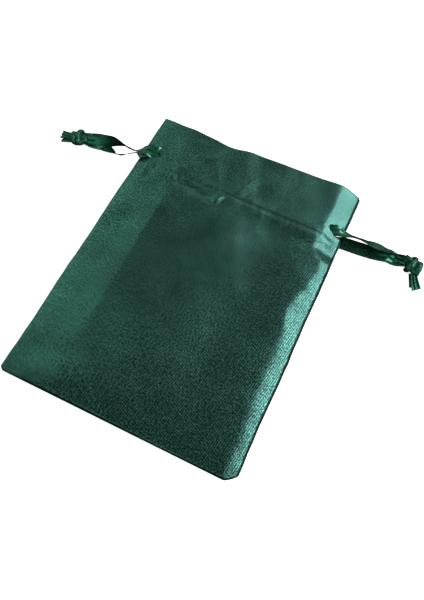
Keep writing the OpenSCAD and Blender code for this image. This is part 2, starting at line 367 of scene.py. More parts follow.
def matt_cloth(name, dark, light):
    """The satin's wrong side: a plain fine weave."""
    m = Nodes(bpy.data.materials.new(name))
    place, u, v = m.weave()
    plain = m.math("MULTIPLY", m.threads(u, WARP), m.threads(v, WEFT))
    grain = m.noise(place, 1.4, 3.0, 0.7)
    colour = m.mix(m.range(grain, 0.3, 0.7, 0, 1), (*dark, 1), (*light, 1))
    return m.surface(Base_Color=colour, Roughness=0.75, Specular_IOR_Level=0.3, Sheen_Weight=0.3,
                     Normal=m.bump(plain, 0.00005, 0.8))


def thread_material(name, dark, light):
    """Twisted thread: its ply winds slowly round as it goes along."""
    m = Nodes(bpy.data.materials.new(name))
    _, u, v = m.weave()
    ply = m.threads(m.math("ADD", m.math("MULTIPLY", u, 0.12), v), 0.3)
    return m.surface(Base_Color=m.mix(ply, (*dark, 1), (*light, 1)), Roughness=0.5,
                     Normal=m.bump(ply, 0.00004, 0.7))


SATIN = satin("satin", dark=(0.0003, 0.0010, 0.0008), light=(0.0400, 0.1350, 0.1100),
              roughness=0.280, specular=0.50, aniso=0.45, pitch=0.84, relief=1.0,
              tint=(0.34, 1.0, 0.88), metallic=0.80)
WRONG_SIDE = matt_cloth("satin_wrong_side", (0.012, 0.055, 0.038), (0.03, 0.10, 0.07))
RIBBON = satin("ribbon", dark=(0.0008, 0.0090, 0.0045), light=(0.0030, 0.034, 0.017),
               roughness=0.25, specular=1.0, aniso=0.5, pitch=0.5, relief=0.4,
               tint=(0.16, 0.85, 0.50), metallic=0.25)
THREAD = thread_material("thread", (0.010, 0.045, 0.03), (0.05, 0.15, 0.11))
RIBBON_FRAY = thread_material("ribbon_fray", (0.01, 0.10, 0.06), (0.12, 0.32, 0.22))

# ---- Camera, floor and light, in metres


def placed(name, data, axes, at):
    """Adds a camera or a light at a place, with the three directions its own axes point in."""
    obj = bpy.data.objects.new(name, data)
    obj.matrix_world = Matrix.Translation(at) @ Matrix(axes).transposed().to_4x4()
    bpy.context.scene.collection.objects.link(obj)
    return obj


def camera():
    data = bpy.data.cameras.new("camera")
    data.sensor_width = 36
    data.lens = 35.0
    data.clip_start = 0.01
    right = (0.90227, 0.42941, 0.03898)
    up = (-0.40335, 0.80863, 0.42829)
    back = (0.15239, -0.40215, 0.90280)
    at = (0.0480, -0.10403, 0.22093)
    bpy.context.scene.camera = placed("camera", data, (right, up, back), at)


# Each light: where it is, its two sizes, its power and its colour. All of them face the sack.
LIGHTS = {
    "key_right": ((0.63, 0.36, 0.69), (1.1, 0.43), 18.2, (1.0, 0.90, 0.95)),
    "fill_left": ((-0.78, 0.30, 0.58), (0.8, 0.28), 1.8, (0.80, 1.0, 0.86)),
    "over_front": ((0.0, -0.85, 1.05), (1.0, 0.8), 4.2, (0.85, 1.0, 0.90)),
    "low_left": ((-0.626, 0.213, 1.0), (0.22, 0.45), 0.64, (0.82, 1.0, 0.88)),
    "far_back": ((-0.25, 0.95, 0.80), (0.9, 0.4), 0.9, (0.9, 1.0, 0.92)),
}


def area_light(name, at, size, power, colour):
    data = bpy.data.lights.new(name, "AREA")
    data.shape = "RECTANGLE"
    data.size, data.size_y = size
    data.energy = power
    data.color = colour
    back = unit(np.array(at))
    side = unit(np.cross((0, 0, 1), back))
    placed(name, data, (side, np.cross(back, side), back), at)


def floor():
    """A pale floor that curves up into a backdrop all round, out of the light's way."""
    flat, bend, high, around = 2400, 900, 3000, 48
    turn = np.linspace(0, np.pi / 2, 7)
    reach = np.concatenate([[1, 400, 1200], flat + bend * np.sin(turn), [flat + bend]])[:, None]
    rise = np.concatenate([[0, 0, 0], bend * (1 - np.cos(turn)), [high]])[:, None]
    angle = np.linspace(0, 2 * np.pi, around + 1)
    verts = listed(reach * np.cos(angle), reach * np.sin(angle), rise)
    m = Nodes(bpy.data.materials.new("paper_sweep"))
    grain = m.noise(m.add("ShaderNodeTexCoord", {}, out=3), 60.0, 4.0)
    paper = m.surface(Base_Color=m.mix(grain, (0.86, 0.86, 0.86, 1), (0.9, 0.9, 0.9, 1)),
                      Roughness=0.9, Specular_IOR_Level=0.1, Emission_Color=(1, 1, 1, 1),
                      Emission_Strength=0.9)
    stage = new_object("floor", verts, grid_quads(len(reach), around + 1), [paper], uv=verts[:, :2])
    stage.visible_glossy = stage.visible_diffuse = stage.visible_shadow = False


def lighting():
    """A studio: a bright band above the horizon, darker overhead, and the lights."""
    world = Nodes(bpy.data.worlds.new("studio"), "Background")
    up = world.add("ShaderNodeSeparateXYZ", {0: world.add("ShaderNodeTexCoord", {})}, out=2)
    ramp = world.add("ShaderNodeValToRGB", {0: up})
    levels = [(0.0, 0.0), (0.04, 1.0), (0.22, 1.0), (0.60, 0.05)]
    stops = ramp.node.color_ramp.elements
    while len(stops) < len(levels):
        stops.new(0.5)
    for stop, (at, value) in zip(stops, levels):
        stop.position = at
        stop.color = (value, value, value, 1)
    bpy.context.scene.world = world.surface(Color=ramp, Strength=0.8)
    for name, lamp in LIGHTS.items():
        area_light(name, *lamp)


camera()
floor()
lighting()
bpy.context.scene.view_settings.view_transform = "Standard"

# ---- Shape of the sack

# Cross-sections of the front panel from the left seam to the right one: x and height
POCKET_SECTION = [(-50, 3.2), (-49.8, 4), (-49, 4.5), (-46, 5.15), (-38, 6.55), (-29.6, 8.05),
                  (-27.2, 8.2), (-22, 8.22), (-8, 8.2), (0, 8.15), (5, 7.95), (17, 7.15), (23, 7),
                  (31, 7.4), (38.5, 7.85), (43, 8), (50, 8.05)]
HEADER_SECTION = [(-50, 3.2), (-49.8, 4.2), (-49, 5), (-45, 6.1), (-40, 7.1), (-32.5, 8.05),
                  (-28, 8.2), (-22, 8.2), (-8, 8.3), (0, 8.3), (12, 8.2), (22, 8.1), (33, 8.3),
                  (43, 8.5), (50, 8.55)]
BACK_SECTION = [(-50.3, 3.2), (-49.8, 1.9), (-48.4, 0.9), (-46, 0.35), (-40, 0.2), (-20, 0.22),
                (0, 0.2), (20, 0.22), (40, 0.2), (46, 0.35), (48.4, 0.9), (49.6, 1.9), (50, 3.2)]
# The mouth's edge from left to right, seen from above
FRONT_MOUTH = [(-50.3, 69.6), (-46, 68.7), (-40, 67.8), (-33, 67.2), (-23, 66.5), (-13, 65.5), (-3, 67),
               (6, 67.3), (14, 67.2), (28, 67.6), (38, 68.1), (42, 68.2), (46, 67.9), (50, 67.3)]
# Where the front panel bends down toward its right edge, from the bottom up: y and x
RIGHT_BEND = [(-70, 44.6), (-62, 44.8), (-52, 44.9), (-42, 44.6), (-32, 44), (-18, 43.8), (-6, 42.6),
              (1, 41), (8, 42.4), (16, 44.8), (24, 45.8), (29, 44.4), (34, 39.8), (42, 40.6), (70, 41)]

BACK_MOUTH = [(-50.3, 69.6), (-30, 69.6), (-10, 69.2), (15, 69.7), (35, 69), (50, 67.4)]

RIGHT_SLOPE = 0.33  # how steeply the panel falls beyond its bend
RIGHT_ROLL = 1.3  # width of the roll at the right seam
CURL_R = 0.45  # radius of the fold at the mouth


def column_places(n):
    """Where the mesh's columns are: closer together toward the side seams, with one at x = 0."""
    u = np.linspace(-1, 1, n)
    return HALF_W * (0.2 * u + 0.8 * np.sin(np.pi / 2 * u))


COLS = int(132 / CELL) // 2 * 2 + 1
COLUMN_X = column_places(COLS)


def row_places():
    """Rows from the bottom seam to the mouth, with one at the side gaps."""
    roll = BOTTOM_Y + 3.0 * (1 - np.cos(np.linspace(0, np.pi / 2, 14)))
    low = np.arange(roll[-1] + CELL, GAP_Y - CELL / 2, CELL)
    high = np.linspace(GAP_Y, MOUTH_Y - CURL_R, int((MOUTH_Y - GAP_Y) / CELL))
    return np.concatenate([roll, low, high]), len(roll) + len(low)


ROW_Y, GAP_ROW = row_places()


def section_height(section, x):
    fine = through(section, 400)
    return np.interp(x, fine[:, 0], fine[:, 1])


def thinning(y):
    """0 up by the tunnel, rising evenly to 1 at the bottom, where the empty sack lies flattest."""
    return np.clip((20 - y) / (20 - BOTTOM_Y), 0, 1)


def seam_height(y):
    return SEAM_Z - 1.0 * thinning(y)


def closing(y, lip, share, reach):
    """0 at the bottom seam, rising to share over the lip and on to 1 at reach above the seam."""
    roll = 1 - np.clip((y - BOTTOM_Y) / lip, 0, 1)
    slope = np.sin(np.clip((y - BOTTOM_Y) / reach, 0, 1) * np.pi / 2)
    return share * np.sqrt(1 - roll ** 2) + (1 - share) * slope


def front_closing(x, y):
    share = 0.65 + 0.22 * smoothstep(-4, -35, x) + 0.32 * smoothstep(41, 45, x)
    return closing(y, 0.6, share, 13)


def back_closing(y):
    return closing(y, 1.4, 0.84, 9)


def mouth_shift(x, y, mouth):
    """Moves rows so that the header ends along the mouth's wavy edge."""
    edge = np.interp(x, *through(mouth, 200).T) - CURL_R
    share = np.clip((y - HEM_Y) / (MOUTH_Y - CURL_R - HEM_Y), 0, 1)
    return y + share * (edge - (MOUTH_Y - CURL_R))


def corner_cut(x, y, side, cut_x, cut_y):
    """Cuts a bottom corner off: cut_x is how far along the bottom, cut_y how far up the side."""
    dx, dy = HALF_W - side * x, y - BOTTOM_Y
    w = np.clip(1 - dx / cut_x - dy / cut_y, 0, 1) ** 1.15
    return x - side * 0.46 * cut_x * w, y + 0.46 * cut_y * w


def corners(x, y):
    x, y = corner_cut(x, y, 1, 4.4, 3.6)
    return corner_cut(x, y, -1, 1.6, 1.6)


# Side gaps, at the left (-1) and the right (1): how far from the middle each one reaches, how far
# its upper edge is pushed up, and how far its lower edge down
FRONT_GAPS = {-1: (40.6, 4.7, 3.0), 1: (42.3, 2.8, 3.2)}
BACK_GAPS = {-1: (46.0, 3.6, 3.6), 1: (46.0, 3.6, 3.6)}


def gap_opening(x, y, half, side, gap, reach):
    """Pushes the edges of a side gap apart. half is -1 for the rows below it and 1 above."""
    lip, up, down = gap
    push = {-1: -down, 0: 0, 1: up}[half]
    u = np.clip((side * x - lip) / (HALF_W - lip), 0, 1)
    return y + push * (u * (2 - u)) ** 0.42 * np.exp(-np.abs(y - GAP_Y) / reach)


# Folds and creases of the front panel: the points of its line, its width and its height.
# A negative height is a valley.
CREASES = [
    ([(-28, 37), (-27.6, 22), (-28.2, 4)], 1.6, 0.12),
    ([(-31, 38.3), (-20, 36.6), (-6, 34.6)], 1.7, -1),
    ([(-9.4, 33), (-7, 36), (-4.2, 39.9)], 1.5, 1.1),
    ([(-24, 66), (-29, 60.5)], 1.4, 0.22),
    ([(-23, 54.6), (-18.5, 58), (-15.4, 61.8)], 1.2, 0.25),
    ([(-12.2, 44), (-12.4, 51), (-13.4, 58)], 2.2, 0.35),
    ([(2, 60), (4, 44)], 2.8, 0.22),
    ([(20, 50), (22, 43)], 2.4, 0.2),
    ([(39, 44), (31, 34)], 2.6, 0.45),
    ([(43, 38), (35, 29)], 3, -0.35),
    ([(12, 36), (19, 22), (25, 7), (28, -5), (25, -18)], 8, -0.55),
    ([(30, -8), (23, -20), (14, -30), (0, -40)], 6.5, -0.65),
    ([(-29, 3), (-18, 2), (-7, 4)], 12, -0.55),
]


def crease(x, y, points, width, height):
    """A fold along a smooth line, fading out toward both ends."""
    line = through(points, 60)
    off = np.sqrt(((x[..., None] - line[:, 0]) ** 2 + (y[..., None] - line[:, 1]) ** 2).min(-1))
    reach = 0.16 * run_length(line)[-1] + 0.5 * width
    ends = 1
    for end in (line[0], line[-1]):
        ends = ends * (1 - bell(np.hypot(x - end[0], y - end[1]), reach))
    return height * bell(off, width) * ends


SIM_SCALE = 10.0  # cloth is simulated this much larger, which keeps the solver steady
SIM_STEP = 2.6  # spacing of the simulated cloth, in mm
SIM_FRAMES = 40
CLOTH_SETTINGS = {
    "quality": 6, "mass": 0.12, "tension_stiffness": 22, "compression_stiffness": 22,
    "shear_stiffness": 8, "bending_stiffness": 0.25, "shrink_min": -0.012,
    "vertex_group_mass": "pins",
}
SMOOTHING = 26  # passes that find the settled cloth's broad form, which is taken off it
SETTLED_SIZE = 0.10  # typical height of the wrinkles that stay, in mm


def settled_relief():
    """Height field of the front panel's satin after it has settled: a sheet a little too large
    for its seams, held at its edges and along the stitches, with its broad form taken off."""
    xs = np.linspace(-HALF_W, HALF_W, int(2 * HALF_W / SIM_STEP) // 2 * 2 + 1)
    ys = np.linspace(BOTTOM_Y, MOUTH_Y, int((MOUTH_Y - BOTTOM_Y) / SIM_STEP))
    yy, xx = np.meshgrid(ys, xs, indexing="ij")
    rng = np.random.default_rng(RNG_SEED)
    seed = 0.35 * ripple(xx, yy, 5, 26, 8) + rng.normal(0, 0.05, xx.shape)
    flat = listed(xx, yy, seed) * MM * SIM_SCALE
    mesh = bpy.data.meshes.new("settling")
    mesh.from_pydata(flat.tolist(), [], grid_quads(len(ys), len(xs)).tolist())
    obj = bpy.data.objects.new("settling", mesh)
    bpy.context.scene.collection.objects.link(obj)
    held = (np.abs(xx) > HALF_W - 1) | (yy < BOTTOM_Y + 1) | (yy > MOUTH_Y - 1)
    row = np.abs(yy - HEM_Y) < SIM_STEP * 0.55
    pins = obj.vertex_groups.new(name="pins")
    pins.add(np.flatnonzero((held | row).ravel()).tolist(), 1.0, "REPLACE")
    cloth = obj.modifiers.new("cloth", "CLOTH")
    for key, value in CLOTH_SETTINGS.items():
        setattr(cloth.settings, key, value)
    cloth.settings.effector_weights.gravity = 0.04
    cloth.collision_settings.use_collision = False
    scene = bpy.context.scene
    scene.frame_start, scene.frame_end = 1, SIM_FRAMES
    cloth.point_cache.frame_start, cloth.point_cache.frame_end = 1, SIM_FRAMES
    for frame_number in range(1, SIM_FRAMES + 1):
        scene.frame_set(frame_number)
    posed = obj.evaluated_get(bpy.context.evaluated_depsgraph_get())
    high = np.array([v.co.z for v in posed.data.vertices]).reshape(xx.shape) / (MM * SIM_SCALE)
    bpy.data.objects.remove(obj)
    bpy.data.meshes.remove(mesh)
    scene.frame_set(1)
    smooth = high.copy()
    for _ in range(SMOOTHING):
        pad = np.pad(smooth, 1, mode="edge")
        smooth = (pad[:-2, 1:-1] + pad[2:, 1:-1] + pad[1:-1, :-2] + pad[1:-1, 2:] + 4 * smooth) / 8
    fold = high - smooth
    fold = fold * min(1.0, SETTLED_SIZE / max(1e-6, fold.std()))
    return xs, ys, np.clip(fold, -3 * SETTLED_SIZE, 3 * SETTLED_SIZE)


SETTLED = settled_relief()


def cubic(d):
    """Weight of a height d steps away, for a smooth surface over a grid of heights."""
    d = np.abs(d)
    return np.where(d < 1, 2 / 3 - d ** 2 + d ** 3 / 2, np.clip(2 - d, 0, 1) ** 3 / 6)


def settled(x, y):
    """The settled cloth's height at places on the panel, smoothly interpolated."""
    xs, ys, field = SETTLED
    (i, a), (j, b) = between(y, ys), between(x, xs)
    total = 0
    for di in range(-1, 3):
        for dj in range(-1, 3):
            near = field[np.clip(i + di, 0, len(ys) - 1), np.clip(j + dj, 0, len(xs) - 1)]
            total = total + cubic(a - di) * cubic(b - dj) * near
    return total


def front_relief(x, y):
    """Everything that lies on the front panel's smooth form: puckers, creases and ripples."""
    edge = smoothstep(HALF_W, HALF_W - 7, np.abs(x))
    d = y - HEM_Y
    row = -0.26 * bell(d, 1.0)
    below = np.exp(-np.clip(-d, 0, None) / 3.0) * np.exp(-np.clip(d, 0, None) / 2.0)
    calm = 1 - 0.45 * smoothstep(5, 35, x)
    puckers = 0.075 * waves(x + 0.25 * d, 11, 3.6, 6) * below * calm
    puckers += 0.15 * waves(x - 0.15 * d, 12, 8.5, 5) * np.exp(-np.abs(d) / 6.5) * calm
    folds = sum(crease(x, y, *c) for c in CREASES)
    header = smoothstep(HEM_Y, HEM_Y + 6, y) * 0.17 * waves(x + 0.2 * d, 13, 19, 4) * calm
    rolling = 0.20 * ripple(x, y, 14, 42, 8) + 0.045 * ripple(x, y, 15, 11, 10)
    return (row + puckers + folds + header + rolling + settled(x, y)) * edge


def right_bend(y):
    y_at, x_at = through(RIGHT_BEND, 200).T
    return np.interp(y, y_at, x_at) + 0.2 * waves(y, 23, 9, 4) * smoothstep(36, 26, y)


def soft_min(a, b, blend):
    """The lower of two heights, with a round corner where they cross."""
    return (a + b - np.sqrt((a - b) ** 2 + blend ** 2)) / 2


def wander(y):
    """How far the side seams stray inward from a straight line."""
    return 0.14 * waves(y, 21, 40, 4) + 0.04 * waves(y, 22, 11, 4)

def outline(x, y, half, mouth, gaps, reach):
    """Moves a panel's points to its outline: mouth, side gaps, bottom corners and side seams."""
    y2 = mouth_shift(x, y, mouth)
    for side in (-1, 1):
        y2 = gap_opening(x, y2, half, side, gaps[side], reach)
    x2, y2 = corners(x, y2)
    return x2 - wander(y) * smoothstep(30, HALF_W, np.abs(x)) * np.sign(x), y2
def front_surface(y, half):
    """The front panel's mid surface for rows y. half is -1 below the side gaps and 1 above."""
    yy, xx = np.meshgrid(y, COLUMN_X, indexing="ij")
    share = smoothstep(HEM_Y - 9, HEM_Y + 3, yy)
    bend = right_bend(yy)

    def top(x):
        low = section_height(POCKET_SECTION, x)
        return low + (section_height(HEADER_SECTION, x) - low) * share - SEAM_Z

    level = top(xx)
    falling = top(bend) - (xx - bend) * RIGHT_SLOPE
    rise = soft_min(level, falling, 0.35 + 0.5 * smoothstep(2, -24, yy))
    crown = np.where(xx < 0, 4.95, rise)
    rise = rise - 1.4 * thinning(yy) * np.clip(rise / crown, 0, 1)
    rise = rise * np.sqrt(1 - np.clip((xx - HALF_W + RIGHT_ROLL) / RIGHT_ROLL, 0, 1) ** 2)
    z = seam_height(yy) + rise * front_closing(xx, yy)
    sag = 0.30 - 0.65 * smoothstep(0, 18, xx)
    sag = sag * smoothstep(HEM_Y + 6, MOUTH_Y, yy) * smoothstep(HALF_W, 28, np.abs(xx))
    z = z - sag + front_relief(xx, yy) * front_closing(xx, yy)
    x2, y2 = outline(xx, yy, half, FRONT_MOUTH, FRONT_GAPS, 6.0)
    return np.stack([x2, y2, z], -1)


def back_surface(y, half):
    """The back panel's mid surface, which lies on the floor. half is as for the front panel."""
    yy, xx = np.meshgrid(y, COLUMN_X, indexing="ij")
    flat = section_height(BACK_SECTION, COLUMN_X)[None, :]
    z = seam_height(yy)
    z = z + (flat - SEAM_Z) * (z - 0.2) / (SEAM_Z - 0.2) * back_closing(yy)
    swell = smoothstep(HALF_W, HALF_W - 9, np.abs(xx)) * back_closing(yy)
    z = z + 0.12 * (1 + ripple(xx, yy, 31, 30, 8) * 0.6) * swell
    z = z - 0.10 * bell(yy - HEM_Y, 0.7) * swell
    x2, y2 = outline(xx, yy, half, BACK_MOUTH, BACK_GAPS, 5.0)
    return np.stack([x2, y2, z], -1)


def with_curl(points, inward):
    """Adds the fold at the mouth: the last row turns over toward inward, -1 down or 1 up."""
    last = points[-1]
    rows = []
    for a in np.linspace(0, np.pi, 8)[1:]:
        row = last.copy()
        row[:, 1] += CURL_R * math.sin(a)
        row[:, 2] += inward * CURL_R * (1 - math.cos(a))
        rows.append(row)
    return np.concatenate([points, np.array(rows)])


def panel_mesh(surface, inward, gaps):
    """Points, quads and weave places of a panel with its two side gaps cut open."""
    low = surface(ROW_Y[:GAP_ROW + 1], -1)
    high = with_curl(surface(ROW_Y[GAP_ROW:], 1), inward)
    cut = (COLUMN_X < -gaps[-1][0]) | (COLUMN_X > gaps[1][0])
    rows_low, rows_high = len(low), len(high)
    verts = np.concatenate([low.reshape(-1, 3), high.reshape(-1, 3)])
    ids = np.arange(len(verts)).reshape(rows_low + rows_high, COLS)
    top = ids[rows_low:].copy()
    top[0, ~cut] = ids[rows_low - 1, ~cut]
    quads = []
    for block in (ids[:rows_low], top):
        corner = [block[:-1, :-1], block[:-1, 1:], block[1:, 1:], block[1:, :-1]]
        quads.append(np.stack(corner, -1).reshape(-1, 4))
    across = run_length(low[rows_low // 2])
    along = run_length(np.concatenate([low[:, COLS // 2], high[:, COLS // 2]]))
    return verts, np.concatenate(quads), listed(across - across[COLS // 2], along[:, None])


def gather(piece, node=None):
    """Bakes a piece's placement into its points, and hides the CAD part that it stands for, if one is
    named.
    """
    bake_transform(piece)
    if node:
        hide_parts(node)


def halves(name, verts, quads, uv, materials=(SATIN, WRONG_SIDE)):
    """Left and right piece of one surface, which together stand in for one CAD part."""
    middle = verts[quads].mean(1)[:, 0]
    for side, sign in SIGN.items():
        piece = thick_sheet(f"{name}_{side}", verts, quads, uv, CLOTH_T, materials, middle * sign > 0)
        gather(piece, name)


def panel(name, surface, inward, gaps):
    """One panel of the sack, in two halves. inward is as for with_curl."""
    verts, quads, uv = panel_mesh(surface, inward, gaps)
    halves(name, verts, quads[:, ::-inward], uv)


class Surface:
    """A grid of surface points that can be looked up by place on the cloth."""

    def __init__(self, points, rows, cols):
        self.points, self.rows, self.cols = points, rows, cols
        flat = points.reshape(-1, 3)
        self.normals = vertex_normals(flat, grid_quads(len(rows), len(cols))).reshape(points.shape)

    def look(self, grid, x, y):
        x, y = np.broadcast_arrays(np.asarray(x, float), np.asarray(y, float))
        (i, a), (j, b) = between(y, self.rows), between(x, self.cols)
        a, b = a[..., None], b[..., None]
        return (grid[i, j] * (1 - a) * (1 - b) + grid[i + 1, j] * a * (1 - b)
                + grid[i, j + 1] * (1 - a) * b + grid[i + 1, j + 1] * a * b)

    def at(self, x, y, off=0.0):
        n = self.look(self.normals, x, y)
        return self.look(self.points, x, y) + n * np.asarray(off)[..., None]


HEM_REACH = 45.5  # how far the hems and their rows of stitches go from the middle
ROW_REACH = 46.5


def hem(name, surface, inward, seed):
    """The mouth's turned-in cloth, from the fold at the mouth down to below its row of stitches."""
    rows = np.linspace(HEM_Y - 1.6, MOUTH_Y - CURL_R, 44)
    cols = np.linspace(-HEM_REACH, HEM_REACH, 130)
    cols[65] = 0.0  # where the halves meet
    yy, xx = np.meshgrid(rows, cols, indexing="ij")
    off = 2 * CURL_R + 0.5 * smoothstep(HEM_Y, HEM_Y + 4, yy) * smoothstep(MOUTH_Y, MOUTH_Y - 8, yy)
    off = off - (off - 0.30) * bell(yy - HEM_Y, 1.4)
    loose = smoothstep(HEM_Y, HEM_Y + 3, yy) * smoothstep(MOUTH_Y, MOUTH_Y - 3, yy)
    off = off + 0.12 * waves(xx, seed, 9.0, 5) * loose
    points = surface.at(xx, yy, inward * off)
    points[0, :, 1] += 0.25 * waves(cols, seed + 1, 5.0, 5)
    uv = listed(xx, 2 * MOUTH_Y - yy)
    quads = grid_quads(len(rows), len(cols))[:, ::inward]
    halves(name, points.reshape(-1, 3), quads, uv)


def stitch_halves(name, paths):
    for side, sign in SIGN.items():
        mine = [p for p in paths if np.mean(p[:, 0]) * sign > 0]
        gather(tubes(f"{name}_{side}", mine, 0.14, THREAD), name)


def hem_stitches(name, surface, proud, seed):
    """A row of short curved threads, each diving into the cloth at both ends."""
    rng = np.random.default_rng(seed)
    t = np.linspace(0, 1, 9)
    high = proud * np.sin(np.pi * np.clip(t, 0.02, 0.98)) ** 0.5 - 0.12
    paths = []
    at = -ROW_REACH
    while at + STITCH_PITCH * 0.8 < ROW_REACH:
        across = HEM_Y + rng.normal(0, 0.05) + rng.normal(0, 0.06) * (t - 0.5)
        paths.append(surface.at(at + t * STITCH_PITCH * 0.74, across, high))
        at += STITCH_PITCH
    stitch_halves(name, paths)


def fray_paths(points, outward, reach, count, seed):
    """Loose thread ends along a raw edge."""
    rng = np.random.default_rng(seed)
    paths = []
    for _ in range(count):
        f = rng.uniform(0, len(points) - 1.001)
        i = int(f)
        p = points[i] * (1 - f + i) + points[i + 1] * (f - i)
        along = unit(points[i + 1] - points[i])
        go = np.array(outward) + along * rng.normal(0, 0.5) + np.array([0, 0, rng.normal(0, 0.15)])
        length = reach * rng.uniform(0.3, 1.0)
        bend = along * rng.normal(0, 0.25) * length
        paths.append([p - go * 0.3, p, p + go * length * 0.5 + bend * 0.4, p + go * length + bend])
    return paths


def seam_stitches(start, stop):
    """For each stitch of a seam: places along it, and the thread's arch over them, 0 to 1."""
    s = np.linspace(0, 1, 9)
    return [(at + s * 2.4, np.sin(np.pi * s) ** 0.5) for at in np.arange(start, stop, STITCH_PITCH)]


def side_seam(side, sign):
    """The seam's inner edge: two layers of cloth turned inward, sewn, with raw edges."""
    rows = np.linspace(BOTTOM_Y + 3.5, HEM_Y - 2.4, 110)
    yy, tt = np.meshgrid(rows, np.linspace(0, 1, 9), indexing="ij")
    quads = grid_quads(*yy.shape)
    uv = listed(tt * 6, yy)
    layers, frays = [], []
    for layer, z in enumerate((2.95, 2.5)):
        edge = HALF_W - 1.0 - wander(yy)
        x = sign * (edge - tt * (6.0 - 0.5 * layer) - 0.25 * tt * waves(yy, 81 + layer, 6.0))
        lift = 0.16 * tt * waves(yy, 83 + layer, 14.0) * (1 - 0.4 * layer)
        p = listed(x, yy, z + seam_height(yy) - SEAM_Z + lift)
        layers.append((p, quads, uv))
        frays += fray_paths(p.reshape(*yy.shape, 3)[:, -1], (-sign, 0, 0), 0.9, 90, 85 + layer)
    verts, faces, uv = joined(layers)
    piece = thick_sheet(f"{side}_allowance", verts, np.array(faces), uv, CLOTH_T, [WRONG_SIDE, SATIN])
    fringe = tubes(f"{side}_seam_fray", frays, FRAY_R, THREAD, 4, 0.8)
    paths = []
    for y, arch in seam_stitches(BOTTOM_Y + 4, HEM_Y - 4):
        x = sign * (HALF_W - 2.2 - wander(y))
        paths.append(listed(x, y, 3.02 + seam_height(y) - SEAM_Z + 0.22 * arch))
    stitches = tubes(f"{side}_stitches", paths, 0.16, THREAD)
    gather(piece, f"{side}_seam_allowance")
    gather(fringe)
    gather(stitches, f"{side}_seam_stitches")


def bottom_seam():
    """The bottom seam's inner edge, turned in, sewn and raw like the side seams'."""
    cols = np.linspace(-45.4, 45.4, 132)
    cols[66] = 0.0  # where the halves meet
    tt, xx = np.meshgrid(np.linspace(0, 1, 9), cols, indexing="ij")
    quads = grid_quads(*xx.shape)
    uv = listed(xx, tt * 6)
    layers, frays = [], []
    for layer, z in enumerate((1.75, 1.3)):
        y = BOTTOM_Y + 1.7 + tt * (5.6 - 0.4 * layer) + 0.25 * tt * waves(xx, 91 + layer, 6.0)
        p = listed(xx, y, z + 0.14 * tt * waves(xx, 93 + layer, 14.0))
        layers.append((p, quads, uv))
        frays += fray_paths(p[-len(cols):], (0, 1, 0), 0.9, 80, 95 + layer)
    verts, faces, uv = joined(layers)
    halves("bottom_seam_allowance", verts, np.array(faces), uv, [WRONG_SIDE, SATIN])
    stitch_halves("bottom_seam_stitches", [listed(x, BOTTOM_Y + 2.9, 1.83 + 0.2 * arch)
                                           for x, arch in seam_stitches(-44, 42)])
    for side, sign in SIGN.items():
        mine = [p for p in frays if p[0][0] * sign > 0]
        fringe = tubes(f"bottom_seam_fray_{side}", mine, FRAY_R, THREAD, 4, 0.8)
        gather(fringe)


FRONT_SURFACE = Surface(front_surface(ROW_Y, 0), ROW_Y, COLUMN_X)
BACK_SURFACE = Surface(back_surface(ROW_Y, 0), ROW_Y, COLUMN_X)
panel("front_panel", front_surface, -1, FRONT_GAPS)
panel("back_panel", back_surface, 1, BACK_GAPS)
hem("front_hem", FRONT_SURFACE, -1, 71)
hem("back_hem", BACK_SURFACE, 1, 73)
hem_stitches("front_hem_stitches", FRONT_SURFACE, 0.16, 75)
UNDERSIDE = Surface(BACK_SURFACE.points, ROW_Y, COLUMN_X)
UNDERSIDE.normals = -BACK_SURFACE.normals * np.sign(BACK_SURFACE.normals[..., 2:])
hem_stitches("back_hem_stitches", UNDERSIDE, 0.26, 76)
for seam_side, seam_sign in SIGN.items():
    side_seam(seam_side, seam_sign)
bottom_seam()

# ---- Ribbons

# Each strand from inside its tunnel to its knot, as
# [x out from the middle, y, height, roll in degrees, width, how far the ribbon is gathered]
LEFT_FRONT = [
    [36, 50, 7.55, 0, 6, 0], [39, 49.3, 7.3, 0, 6, 0.1], [41.4, 48.5, 6, 4, 6, 0.3],
    [44.3, 47.6, 6.7, 14, 6.2, 0.45], [47.3, 46.8, 7.2, -4, 5.8, 0.4],
    [50, 45.4, 7, -26, 4.8, 0.4], [53.6, 44.6, 6.3, -46, 4.4, 0.3],
    [57.2, 45.8, 5.2, -57, 5, 0.1], [61, 47, 4.3, -72, 5.7, 0], [65, 46.9, 3.6, -95, 6, 0],
    [68.5, 45.8, 3.2, -110, 6, 0], [72.5, 44.5, 3, -135, 6, 0.1],
    [76.5, 43.2, 3.1, -155, 5.4, 0.4], [79.5, 42.4, 3.4, -160, 4.2, 0.9],
    [81.5, 41.8, 3.3, -160, 3, 1]]
LEFT_BACK = [
    [36, 50, 1.1, 0, 6, 0], [45, 49.4, 0.8, 0, 6, 0.1], [48.5, 48.2, 0.9, 0, 5.6, 0.3],
    [51, 47, 1.3, -18, 5, 0.4], [53.6, 46.7, 2.1, -50, 4.4, 0.3], [56.5, 43.9, 2.7, -56, 5, 0.1],
    [59.3, 41.7, 2.8, -55, 5.6, 0], [63, 41.1, 2.7, -50, 5.8, 0], [66, 42, 2.2, -28, 6, 0],
    [70, 43.4, 1.5, -5, 6, 0], [75, 43.2, 1.2, 4, 6, 0.2], [79, 42.4, 1.9, 0, 4.4, 0.8],
    [81.5, 41.9, 2.6, 0, 3, 1]]
